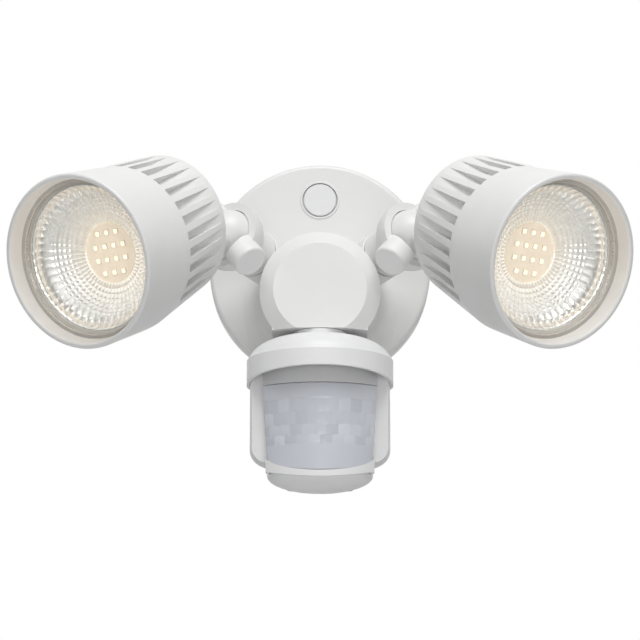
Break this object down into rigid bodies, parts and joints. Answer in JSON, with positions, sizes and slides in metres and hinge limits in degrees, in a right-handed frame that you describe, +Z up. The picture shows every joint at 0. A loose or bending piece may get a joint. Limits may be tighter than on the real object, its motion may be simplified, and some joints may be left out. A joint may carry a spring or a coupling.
{
  "type": "motion sensor security light",
  "caption": "White wall-mounted outdoor security light: round canopy with a front drum, swivelling round lamp heads on ball knuckles, and a motion sensor below.",
  "frame": {"origin": "centre of the canopy's back in the plane of the wall, midway between the two wall-box screw slots", "axes": "+X to the right of someone who faces the wall, +Y into the wall, +Z up; the light stands out along -Y"},
  "size_m": [0.3076, 0.1975, 0.1901],
  "materials": {
    "white_paint": "satin white powder coat",
    "white_plastic": "satin white",
    "seal_rubber": "matte black",
    "lens_gasket": "matte grey",
    "zinc_steel": "zinc plated",
    "green_screw": "green ground screw",
    "grey_plastic": "light grey",
    "circuit_board": "green solder mask",
    "transformer_yellow": "tape-wound coil and ferrite",
    "capacitor_black": "black sleeve",
    "clear_glass": "clear tempered glass",
    "reflector_mirror": "vacuum metallised",
    "carrier_aluminium": "sheet",
    "led_board_white": "white solder mask",
    "led_phosphor": "warm white phosphor",
    "fresnel_plastic": "translucent milky polyethylene",
    "dial_grey": "grey",
    "pot_blue": "blue trimmer"
  },
  "bodies": {
    "canopy": {"canopy_housing": "white_paint", "wall_seal": "seal_rubber", "top_plug": "white_plastic", "canopy_screw": "zinc_steel", "mounting_plate": "zinc_steel", "ground_screw": "green_screw", "driver_cover": "grey_plastic", "cable_grommet": "seal_rubber", "driver_board": "circuit_board", "driver_screws": "zinc_steel", "driver_transformer": "transformer_yellow", "driver_capacitors": "capacitor_black"},
    "left_arm": {"left_swivel_cup": "white_paint", "left_swivel_seal": "seal_rubber", "left_swivel_nut": "zinc_steel", "left_pivot_screw": "zinc_steel", "left_pivot_nut": "zinc_steel", "left_pivot_caps": "white_plastic"},
    "left_head": {"left_head_knuckle": "white_paint", "left_heat_sink": "white_paint", "left_front_housing": "white_paint", "left_joint_seal": "seal_rubber", "left_lens_gasket": "lens_gasket", "left_front_lens": "clear_glass", "left_reflector": "reflector_mirror", "left_carrier_plate": "carrier_aluminium", "left_carrier_screws": "zinc_steel", "left_led_board": "led_board_white", "left_led_chips": "led_phosphor"},
    "right_arm": {"right_swivel_cup": "white_paint", "right_swivel_seal": "seal_rubber", "right_swivel_nut": "zinc_steel", "right_pivot_screw": "zinc_steel", "right_pivot_nut": "zinc_steel", "right_pivot_caps": "white_plastic"},
    "right_head": {"right_head_knuckle": "white_paint", "right_heat_sink": "white_paint", "right_front_housing": "white_paint", "right_joint_seal": "seal_rubber", "right_lens_gasket": "lens_gasket", "right_front_lens": "clear_glass", "right_reflector": "reflector_mirror", "right_carrier_plate": "carrier_aluminium", "right_carrier_screws": "zinc_steel", "right_led_board": "led_board_white", "right_led_chips": "led_phosphor"},
    "sensor": {"sensor_neck": "white_plastic", "neck_nut": "zinc_steel", "sensor_hood": "white_plastic", "sensor_tub": "white_plastic", "lens_frame": "white_plastic", "fresnel_lens": "fresnel_plastic", "sensor_base": "white_plastic", "sensor_board": "circuit_board", "pir_detector": "zinc_steel", "trim_pots": "pot_blue"},
    "time_dial": {"time_dial": "dial_grey"},
    "light_dial": {"light_dial": "dial_grey"},
    "range_dial": {"range_dial": "dial_grey"}
  },
  "joints": [
    {"name": "left_swivel", "type": "hinge", "parent": "canopy", "child": "left_arm", "pos_m": [-0.0338, -0.045, 0.0009], "axis": [0.5489, 0.8138, -0.1908], "range_deg": [-60, 90]},
    {"name": "left_tilt", "type": "hinge", "parent": "left_arm", "child": "left_head", "pos_m": [-0.04807, -0.06616, 0.00586], "axis": [-0.4991, 0.5022, 0.7061], "range_deg": [-20, 45]},
    {"name": "right_swivel", "type": "hinge", "parent": "canopy", "child": "right_arm", "pos_m": [0.0338, -0.045, 0.0009], "axis": [0.5489, -0.8138, 0.1908], "range_deg": [-60, 90]},
    {"name": "right_tilt", "type": "hinge", "parent": "right_arm", "child": "right_head", "pos_m": [0.04807, -0.06616, 0.00586], "axis": [-0.4991, -0.5022, -0.7061], "range_deg": [-20, 45]},
    {"name": "sensor_pan", "type": "hinge", "parent": "canopy", "child": "sensor", "pos_m": [0, -0.0542, -0.0454], "axis": [0, 0, 1], "range_deg": [-90, 90]},
    {"name": "time_dial_turn", "type": "hinge", "parent": "sensor", "child": "time_dial", "pos_m": [-0.013, -0.0462, -0.1235], "axis": [0, 0, -1], "range_deg": [0, 270]},
    {"name": "light_dial_turn", "type": "hinge", "parent": "sensor", "child": "light_dial", "pos_m": [0, -0.0462, -0.1235], "axis": [0, 0, -1], "range_deg": [0, 270]},
    {"name": "range_dial_turn", "type": "hinge", "parent": "sensor", "child": "range_dial", "pos_m": [0.013, -0.0462, -0.1235], "axis": [0, 0, -1], "range_deg": [0, 270]}
  ]
}
